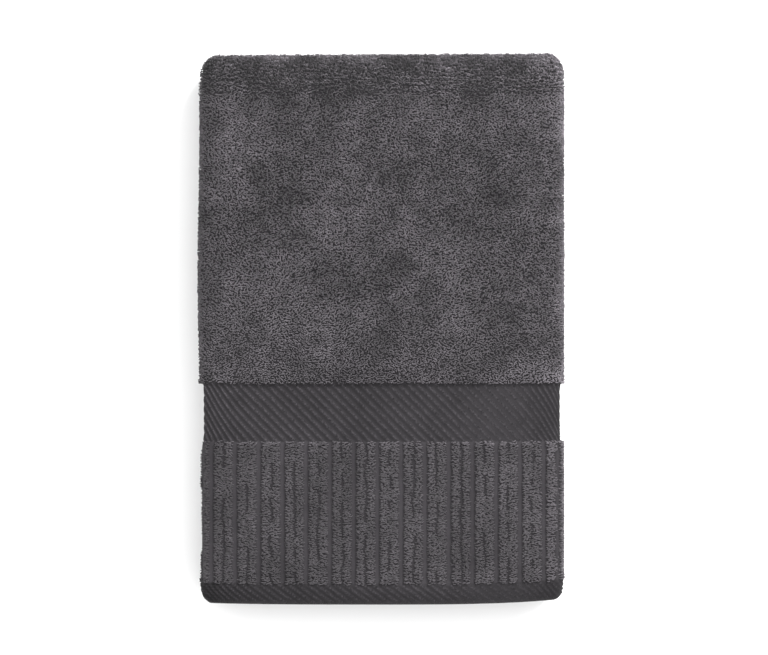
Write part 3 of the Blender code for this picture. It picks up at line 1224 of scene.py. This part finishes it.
    def nap_and_painted_light(self, across: np.ndarray, along: np.ndarray) -> np.ndarray:
        """How light the pile looks: the soft patches, times painted light and shade.

        Painted shade fills a bell below the top fold and one at the left side, a painted highlight a
        bell at the right side, and the ribs are darker but for a painted highlight at their end at the
        dobby band.

        Args:
            across: Distances across the cloth.
            along: Distances along the cloth.

        Returns:
            A factor about 1.
        """
        patches = self.patches(across, along) * self.patch_tone
        patches = patches * np.where(along < FORM.ribs_end, self.rib_patch_tone, 1.0)
        below_fold = FORM.along.begins[Along.TOP_FOLD] - along
        painted_fold_shade = self.painted_fold_shade * bell(below_fold + self.painted_fold_shade_at, self.painted_fold_shade_width)
        from_middle = across - FORM.front_middle
        right = self.right_light * bell(from_middle - FORM.width / 2, self.side_width)
        left = self.left_shade * bell(from_middle + FORM.width / 2, self.side_width)
        rib_end = self.rib_end_light * bell(FORM.ribs_end - along, self.rib_end_width)
        ribs = self.rib_shade * (along < FORM.ribs_end) * (1 - rib_end)
        return np.maximum(1 + patches - painted_fold_shade, self.least_tone) * (1 + right - left) * (1 - ribs)

    def build(self, builder: Builder, plot: Plot, material: bpy.types.Material) -> bpy.types.Object:
        """Makes one plot's loops as a single mesh.

        A loop's spine runs along its turned length, with a bend of 1 - (2t)**2 to its side and an
        arch of 1 - fall * t**2 over the cloth, where t goes from -0.5 to 0.5. Its tips are buried.

        Args:
            builder: What makes the mesh.
            plot: Where the loops stand.
            material: The loops' material.

        Returns:
            The object.
        """
        rng = np.random.default_rng(SEED + sum(map(ord, plot.name)))
        u, v = plot.roots(rng)
        kept = self.keep(plot, *plot.on_cloth(u, v), rng)
        u, v = u[kept], v[kept]
        across, along = plot.on_cloth(u, v)
        count, rows = len(u), self.rows(plot, u, v)
        flow = self.flow(u, v) + self.fine_flow_share * self.fine_flow(u, v)
        angle = np.radians(plot.flow_deg * flow + rng.normal(0, plot.lie_deg, count))
        length = plot.loop_length * (1 + self.length_spread * rng.uniform(-1, 1, count))
        bend = rng.uniform(-self.bend_spread, self.bend_spread, count) * length
        arch = plot.arch * rng.uniform(plot.least_arch, self.most_arch, count)
        arch = arch * (1 + self.row_height * rows)
        for edge in reversed(FORM.band_ends):
            arch = arch * (1 + self.edge_puff * bell(along - edge, self.puff_width))
        stops = np.array((-0.5, *self.rings, 0.5))
        inner = (1 - self.arch_fall * ring**2 for ring in self.rings)
        heights = np.array((self.tip_height, *inner, self.tip_height))
        ahead, aside = length[:, None] * stops, bend[:, None] * (1 - (2 * stops) ** 2)
        sine, cosine = np.sin(angle)[:, None], np.cos(angle)[:, None]
        spine_u = u[:, None] + (cosine * ahead - sine * aside)
        spine_v = v[:, None] + (sine * ahead + cosine * aside)
        sunk, parting_painted_shade = self.parted(plot, across, along)
        base = (RELIEF.top(across, along) - sunk)[:, None] - RELIEF.pile_depth
        outward = base + arch[:, None] * heights - self.yarn_radius * self.yarn_sunk
        spine = FORM.place(*plot.on_cloth(spine_u.ravel(), spine_v.ravel()), outward.ravel())
        points, faces = self.tubes(spine.reshape(count, len(stops), 3), FORM.upward(across, along))
        piece = builder.piece(f"terry_loops_{plot.name}", points.reshape(-1, 3), faces, material)
        builder.lay_flat(piece, self.unrolled(count, len(self.rings)))
        # Each loop's random tone times the patches and the painted light and shade: at the sides, below the
        # top fold, on the ribs, between rows and in the partings.
        own = 1 + plot.tone_spread * rng.uniform(-1, 1, count)
        own = own * self.nap_and_painted_light(across, along) * (1 + self.row_painted_shade * rows) * (1 - parting_painted_shade)
        builder.tell(piece, Reading.SHADE, np.repeat(own, points.shape[1]))
        level = np.concatenate(([0.0], np.repeat(heights[1:-1], self.sides), [0.0]))
        builder.tell(piece, Reading.LEVEL, np.tile(level, count))
        return piece

    def tubes(self, spine: np.ndarray, up: np.ndarray) -> tuple[np.ndarray, np.ndarray]:
        """Wraps each loop's spine in a closed tube: a ring at each inner stop and a tip at each end.

        A ring's points lie at even turns round the spine, at the yarn's radius.

        Args:
            spine: For each loop, its stops.
            up: For each loop, the direction in which the cloth faces.

        Returns:
            Each loop's points, and all triangles.
        """
        count = len(spine)
        ahead = spine[:, 2:] - spine[:, :-2]
        ahead /= np.linalg.norm(ahead, axis=2, keepdims=True)
        side = np.cross(ahead, up[:, None, :])
        side /= np.linalg.norm(side, axis=2, keepdims=True)
        over = np.cross(side, ahead)
        turns = math.pi / 2 + np.arange(self.sides) * 2 * math.pi / self.sides
        ring = side[:, :, None, :] * np.cos(turns)[:, None] + over[:, :, None, :] * np.sin(turns)[:, None]
        rings = spine[:, 1:-1, None, :] + self.yarn_radius * ring
        points = np.concatenate((spine[:, :1], rings.reshape(count, -1, 3), spine[:, -1:]), axis=1)
        faces, last = [], points.shape[1] - 1
        for i in range(self.sides):
            j = (i + 1) % self.sides
            faces.append((0, 1 + i, 1 + j))
            faces.append((last, last - self.sides + j, last - self.sides + i))
            for low in range(1, last - self.sides, self.sides):
                high = low + self.sides
                faces.append((low + i, high + i, high + j))
                faces.append((low + i, high + j, low + j))
        every = np.array(faces)[None] + (np.arange(count) * points.shape[1])[:, None, None]
        return points, every.reshape(-1, 3)

    def unrolled(self, count: int, rings: int) -> np.ndarray:
        """Unrolls each tube into a square cell of its own, so that each loop keeps its own tone.

        The way round the tube runs across the cell, and the way along it runs up the cell. The
        faces come in the order in which tubes() makes them.

        Args:
            count: How many loops there are.
            rings: How many rings each of them has.

        Returns:
            A row of two for each corner.
        """
        top, corners = rings + 1, []
        for i in range(self.sides):
            corners.append(((i + 0.5, 0), (i, 1), (i + 1, 1)))
            corners.append(((i + 0.5, top), (i + 1, rings), (i, rings)))
            for ring in range(1, rings):
                corners.append(((i, ring), (i, ring + 1), (i + 1, ring + 1)))
                corners.append(((i, ring), (i + 1, ring + 1), (i + 1, ring)))
        cell = np.array(corners, dtype=float).reshape(-1, 2) / (self.sides, top)
        cell = cell * (1 - 2 * self.map_margin) + self.map_margin
        columns = math.ceil(math.sqrt(count))
        corner = np.column_stack((np.arange(count) % columns, np.arange(count) // columns))
        return ((corner[:, None, :] + cell[None]) / columns).reshape(-1, 2)


class Nodes:
    """Adds nodes to a tree and links them."""

    def __init__(self, tree: bpy.types.NodeTree) -> None:
        """Keeps the tree."""
        self.tree = tree

    def feed(self, node: bpy.types.Node, inputs: Inputs) -> None:
        """Sets a node's inputs.

        Args:
            node: The node.
            inputs: For each input, a value or an output that feeds it.
        """
        for name, value in inputs.items():
            if isinstance(value, bpy.types.NodeSocket):
                self.tree.links.new(value, node.inputs[name])
            else:
                node.inputs[name].default_value = value

    def add(self, kind: str, inputs: Inputs | None = None, **settings: object) -> bpy.types.Node:
        """Adds one node.

        Args:
            kind: The node's type.
            inputs: For each input, a value or an output that feeds it.
            **settings: The node's own properties.

        Returns:
            The node.
        """
        node = self.tree.nodes.new(kind)
        for name, value in settings.items():
            setattr(node, name, value)
        self.feed(node, inputs or {})
        return node

    def math(self, operation: str, *values: Value) -> Socket:
        """Adds a Math node that works on up to three values."""
        return self.add("ShaderNodeMath", dict(enumerate(values)), operation=operation).outputs[0]

    def times(self, first: Value, second: Value) -> Socket:
        """Multiplies two values."""
        return self.math("MULTIPLY", first, second)

    def scaled(self, value: Value, factor: Value, offset: Value) -> Socket:
        """Multiplies a value by a factor and adds an offset."""
        return self.math("MULTIPLY_ADD", value, factor, offset)

    def noise(self, place: Socket, scale: float, detail: float) -> Socket:
        """Adds a noise with so many features in a metre and so many finer octaves."""
        found = self.add("ShaderNodeTexNoise", {"Vector": place, "Scale": scale, "Detail": detail})
        return found.outputs["Fac"]

    def read(self, reading: Reading, output: str = "Fac") -> Socket:
        """Reads what the mesh's points tell."""
        return self.add("ShaderNodeAttribute", attribute_name=reading.value).outputs[output]


@dataclass(frozen=True)
class Mottle:
    """The cotton's uneven dye and nap, which the cloth, the border and the loops share."""

    broad_scale: float = 22.0
    broad_detail: float = 3.0
    broad_strength: float = 0.75
    broad_least: float = 0.62
    fine_scale: float = 120.0
    fine_detail: float = 2.0
    fine_strength: float = 0.45
    fine_least: float = 0.775

    def group(self) -> bpy.types.NodeTree:
        """Multiplies a broad and a fine noise, each scaled to lie about 1.

        Returns:
            A node group that turns coordinates into a factor for the colour.
        """
        group = bpy.data.node_groups.new("cotton_mottle", "ShaderNodeTree")
        group.interface.new_socket("Vector", in_out="INPUT", socket_type="NodeSocketVector")
        group.interface.new_socket("Factor", in_out="OUTPUT", socket_type="NodeSocketFloat")
        nodes = Nodes(group)
        place = nodes.add("NodeGroupInput").outputs["Vector"]
        broad = nodes.noise(place, self.broad_scale, self.broad_detail)
        fine = nodes.noise(place, self.fine_scale, self.fine_detail)
        broad = nodes.scaled(broad, self.broad_strength, self.broad_least)
        fine = nodes.scaled(fine, self.fine_strength, self.fine_least)
        nodes.add("NodeGroupOutput", {"Factor": nodes.times(broad, fine)})
        return group


@dataclass(frozen=True)
class Cotton:
    """A cotton finish: its colour, its roughness, its sheen and the depth of its bump."""

    name: str
    colour: tuple[float, float, float]
    roughness: float = 0.95
    sheen: float = 0.25
    sheen_roughness: float = 0.5
    specular: float = 0.2
    bump: float = 0.5
    bump_depth: float = 0.0002

    def surface(self, nodes: Nodes, place: Socket) -> tuple[Socket, Socket]:
        """Works out the finish's own pattern, as each kind of cotton does.

        Args:
            nodes: The material's nodes.
            place: The Object coordinates.

        Returns:
            A factor for the colour, and the bump's height.
        """
        raise NotImplementedError

    def material(self, mottle: bpy.types.NodeTree) -> bpy.types.Material:
        """Makes the material: the colour times the uneven dye times the finish's own tone.

        Args:
            mottle: The node group of the uneven dye.

        Returns:
            The material.
        """
        material = bpy.data.materials.new(self.name)
        material.use_nodes = True
        nodes = Nodes(material.node_tree)
        place = nodes.add("ShaderNodeTexCoord").outputs["Object"]
        tone, height = self.surface(nodes, place)
        dye = nodes.add("ShaderNodeGroup", {"Vector": place}, node_tree=mottle).outputs["Factor"]
        factor = nodes.times(dye, tone)
        colour = nodes.add("ShaderNodeVectorMath", {0: self.colour, "Scale": factor}, operation="SCALE")
        raised = {"Height": height, "Strength": self.bump, "Distance": self.bump_depth}
        wanted = {
            "Base Color": colour.outputs[0],
            "Normal": nodes.add("ShaderNodeBump", raised).outputs["Normal"],
            "Roughness": self.roughness,
            "Sheen Weight": self.sheen,
            "Sheen Roughness": self.sheen_roughness,
            "Specular IOR Level": self.specular,
        }
        nodes.feed(material.node_tree.nodes["Principled BSDF"], wanted)
        return material


@dataclass(frozen=True)
class LoopYarn(Cotton):
    """The finish of the pile's loops: twisted yarn, painted shade at its roots, each loop in its own tone."""

    painted_root_tone: float = 0.65
    painted_arch_lift: float = 0.35
    twist_scale: float = 3200.0
    twist_detail: float = 2.0

    def surface(self, nodes: Nodes, place: Socket) -> tuple[Socket, Socket]:
        """The loop's shade times painted shade that deepens towards its roots, and a fine noise for the
        twist.

        Args:
            nodes: The material's nodes.
            place: The Object coordinates.

        Returns:
            A factor for the colour, and the bump's height.
        """
        # Darker towards the roots, lighter at the arch: painted shade deep in the pile.
        root = nodes.scaled(nodes.read(Reading.LEVEL), self.painted_arch_lift, self.painted_root_tone)
        twist = nodes.noise(place, self.twist_scale, self.twist_detail)
        return nodes.times(nodes.read(Reading.SHADE), root), twist


@dataclass(frozen=True)
class TerryGround(Cotton):
    """The finish of the cloth itself: packed loops wherever no loops are modelled."""

    loop_scale: float = 620.0
    loop_depth: float = 0.9
    bend_scale: float = 300.0
    bend_detail: float = 1.0
    tone_strength: float = 0.5
    tone_least: float = 0.85

    def surface(self, nodes: Nodes, place: Socket) -> tuple[Socket, Socket]:
        """A noise less the distance to the nearest loop's middle: the bump, and a tone of painted shade
        between loops.

        Args:
            nodes: The material's nodes.
            place: The Object coordinates.

        Returns:
            A factor for the colour, and the bump's height.
        """
        bent = nodes.noise(place, self.bend_scale, self.bend_detail)
        loops = nodes.add("ShaderNodeTexVoronoi", {"Vector": place, "Scale": self.loop_scale})
        height = nodes.math("SUBTRACT", bent, nodes.times(loops.outputs["Distance"], self.loop_depth))
        # The tone darkens away from the loops' middles: painted shade between the loops.
        tone = nodes.scaled(height, self.tone_strength, self.tone_least)
        return nodes.times(tone, nodes.read(Reading.SHADE)), height


@dataclass(frozen=True)
class FlatWeave(Cotton):
    """The finish of the dobby band, the hem and the grooves: fine threads side by side."""

    thread_pitch: float = 0.00062
    thread_depth: float = 0.25
    fibre_scale: float = 1800.0
    fibre_detail: float = 2.0
    tone_strength: float = 0.3
    tone_least: float = 0.85
    threads_per_step: float = 2.1
    step_strength: float = 0.30
    step_least: float = 0.70
    crest_light: float = 1.0
    rib_light: float = 0.55
    stitch_scale: float = 900.0
    stitch_detail: float = 1.0
    speckle: float = 2.6
    stitch_depth: float = 2.5

    def surface(self, nodes: Nodes, place: Socket) -> tuple[Socket, Socket]:
        """Crosses two sines for the threads, and adds the cords' painted light and shade and the stitches.

        The tone is that of threads and fibres, times 1 + the cords' painted light and shade times
        its short steps, times 1 + the light of the ribs' ground, less under the loops where it keeps
        painted shade, times 1 + the uneven stitches.

        Args:
            nodes: The material's nodes.
            place: The Object coordinates.

        Returns:
            A factor for the colour, and the bump's height.
        """
        cloth = nodes.add("ShaderNodeSeparateXYZ", {0: nodes.read(Reading.CLOTH, "Vector")})
        across, along, in_ribs = (cloth.outputs[i] for i in range(3))
        turn = 2 * math.pi / self.thread_pitch
        warp = nodes.math("SINE", nodes.times(across, turn))
        weft = nodes.math("SINE", nodes.times(along, turn))
        weave = nodes.times(nodes.times(warp, weft), self.thread_depth)
        fibres = nodes.noise(place, self.fibre_scale, self.fibre_detail)
        threads = nodes.math("ADD", weave, fibres)
        steps = nodes.math("SINE", nodes.times(along, turn / self.threads_per_step))
        steps = nodes.scaled(steps, self.step_strength, self.step_least)
        # The cords' painted highlights and painted shade, broken into short steps.
        crest = nodes.scaled(nodes.times(nodes.read(Reading.CREST), steps), self.crest_light, 1.0)
        # The ribs' ground lighter in the grooves, with painted shade under the loops.
        light = nodes.times(crest, nodes.scaled(in_ribs, self.rib_light, 1.0))
        tone = nodes.times(nodes.scaled(threads, self.tone_strength, self.tone_least), light)
        stitch = nodes.read(Reading.STITCH)
        uneven = nodes.math("SUBTRACT", nodes.noise(place, self.stitch_scale, self.stitch_detail), 0.5)
        speckled = nodes.scaled(nodes.times(uneven, stitch), self.speckle, 1.0)
        raised = nodes.times(uneven, nodes.times(stitch, self.stitch_depth))
        return nodes.times(tone, speckled), nodes.math("ADD", threads, raised)


@dataclass(frozen=True)
class Studio:
    """A pale floor, soft light from above and the camera straight over the towel."""

    floor_size: float = 6.0
    floor_colour: tuple[float, float, float, float] = (0.9, 0.9, 0.9, 1.0)
    floor_roughness: float = 0.9
    lens: float = 200.0
    sensor: float = 36.0
    frame_width: float = 0.4811
    camera_x: float = 0.0013
    camera_y: float = 0.0010
    key_place: tuple[float, float, float] = (0.80, 1.10, 1.25)
    key_size: float = 0.7
    key_power: float = 44.0
    fill_height: float = 2.2
    fill_size: float = 3.0
    fill_power: float = 66.0
    sky_colour: tuple[float, float, float, float] = (1.0, 1.0, 1.0, 1.0)
    sky: float = 0.70

    def build(self, top: float) -> None:
        """Makes the floor, the lights, the world and the camera.

        Args:
            top: The height of the towel's front, on which the camera's frame is measured.
        """
        self.floor()
        self.area("key", self.key_place, self.key_size, self.key_power)
        self.area("fill", (0.0, 0.0, self.fill_height), self.fill_size, self.fill_power)
        self.world()
        self.camera(top)
        bpy.context.scene.view_settings.view_transform = "Standard"

    def world(self) -> None:
        """Makes the even light of the surroundings."""
        world = bpy.data.worlds.new("studio")
        bpy.context.scene.world = world
        world.use_nodes = True
        light = {"Color": self.sky_colour, "Strength": self.sky}
        Nodes(world.node_tree).feed(world.node_tree.nodes["Background"], light)

    def camera(self, top: float) -> None:
        """Hangs the camera where its frame is as wide as wanted: lens over sensor times that width.

        Args:
            top: The height of the towel's front.
        """
        lens = bpy.data.cameras.new("camera")
        lens.lens, lens.sensor_width = self.lens, self.sensor
        camera = bpy.data.objects.new("camera", lens)
        height = top + self.lens / self.sensor * self.frame_width
        camera.location = (self.camera_x, self.camera_y, height)
        bpy.context.scene.collection.objects.link(camera)
        bpy.context.scene.camera = camera

    def floor(self) -> None:
        """Makes the floor, one square about the origin."""
        half = self.floor_size / 2
        mesh = bpy.data.meshes.new("floor")
        corners = [(-half, -half, 0), (half, -half, 0), (half, half, 0), (-half, half, 0)]
        mesh.from_pydata(corners, [], [(0, 1, 2, 3)])
        floor = bpy.data.objects.new("floor", mesh)
        material = bpy.data.materials.new("floor")
        material.use_nodes = True
        finish = {"Base Color": self.floor_colour, "Roughness": self.floor_roughness}
        Nodes(material.node_tree).feed(material.node_tree.nodes["Principled BSDF"], finish)
        mesh.materials.append(material)
        bpy.context.scene.collection.objects.link(floor)

    def area(self, name: str, place: tuple[float, float, float], size: float, power: float) -> None:
        """Makes a square area light that faces the origin.

        Args:
            name: The light's name.
            place: Where it hangs.
            size: The length of its side.
            power: Its power in watts.
        """
        data = bpy.data.lights.new(name, "AREA")
        data.size, data.energy = size, power
        light = bpy.data.objects.new(name, data)
        light.location = place
        light.rotation_euler = (-light.location).to_track_quat("-Z", "Y").to_euler()
        bpy.context.scene.collection.objects.link(light)


@dataclass(frozen=True)
class Field:
    """How the right side is divided into plots, and how densely each is planted."""

    front_plots: int = 3
    front_pitch: tuple[float, float] = (0.00112, 0.00100)
    rib_pitch: tuple[float, float] = (0.00120, 0.00080)
    fold_pitch: tuple[float, float] = (0.0014, 0.0014)
    side_pitch: tuple[float, float] = (0.0020, 0.0020)
    side_arch: float = 0.0014
    base_pitch: tuple[float, float] = (0.0017, 0.0017)

    def plots(self) -> list[Plot]:
        """Lays out the plots that show, with a finer pitch where they face up.

        Returns:
            The front in even parts, the ribs, the top fold, both side folds and the base fold.
        """
        wide, long, outward = FORM.across, FORM.along, FORM.section / 2
        front = wide.span(Across.LEFT_FOLD, Across.RIGHT_FOLD)
        part = (long.begins[Along.TOP_FOLD] - FORM.dobby_end) / self.front_plots
        ribs = Plot(
            "ribs", front, (FORM.hem_end, FORM.ribs_end), self.rib_pitch, outward, PileKind.RIBS,
            lie_deg=13.0, flow_deg=10.0, loop_length=0.0022, arch=0.0017, least_arch=0.80,
        )
        top_fold = Plot(
            "top_fold", front, long.span(Along.TOP_FOLD), self.fold_pitch, outward,
            lie_deg=26.0, flow_deg=24.0, loop_length=0.0021, arch=0.0022, least_arch=0.50,
            tone_spread=0.50, row_pitch=0.0034,
        )
        plots = []
        for i in range(self.front_plots):
            stretch = (FORM.dobby_end + i * part, FORM.dobby_end + (i + 1) * part)
            plots.append(Plot(f"front_{i + 1}", front, stretch, self.front_pitch, outward))
        plots += [ribs, top_fold]
        stretch = long.span(Along.LOWEST, Along.SECOND)
        for name, fold in (("left_side", Across.LEFT_FOLD), ("right_side", Across.RIGHT_FOLD)):
            plots.append(Plot(name, wide.span(fold), stretch, self.side_pitch, 0.0, arch=self.side_arch))
        base = (wide.span(Across.FRONT), long.span(Along.BASE_FOLD))
        return [*plots, Plot("base_fold", *base, self.base_pitch, outward)]


def shift_to(top_y: float) -> np.ndarray:
    """Works out how far the towel moves, so that its top edge lies where the solid's does.

    Args:
        top_y: The solid's largest y.

    Returns:
        What is taken off every point.
    """
    along = np.linspace(0, FORM.along.length, SAMPLES)
    middle = np.full_like(along, FORM.front_middle)
    points = FORM.place(middle, along, RELIEF.top(middle, along))
    return np.array((0.0, points[:, 1].max() - top_y, 0.0))


def main() -> None:
    """Builds every piece and the studio."""
    logging.basicConfig(level=logging.INFO, format="%(message)s")
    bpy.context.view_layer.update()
    _, high = (np.array(corner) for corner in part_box("towel"))
    builder = Builder(shift_to(high[1]))
    mottle = Mottle().group()
    # The ground is darker than the loops' yarn: painted shade between the loops, and also the cloth's colour
    # where no loops are modelled.
    terry = TerryGround("terry_ground", (0.036, 0.0335, 0.037), sheen=0.1, bump_depth=0.0007)
    flat = FlatWeave("flat_weave", (0.0205, 0.0188, 0.0209), sheen=0.05, bump=0.35, bump_depth=0.00012)
    loops = LoopYarn("loop_yarn", (0.0890, 0.0810, 0.0901), sheen=0.15).material(mottle)
    sheet = ClothSheet().build(builder, terry.material(mottle))
    WovenBorder().build(builder, flat.material(mottle))
    pile = TerryPile()
    for plot in Field().plots():
        pile.build(builder, plot, loops)
    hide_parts("towel")
    flat_size = (FORM.across.length, FORM.along.length)
    Studio().build(float(high[2]))


if __name__ == "__main__":
    main()
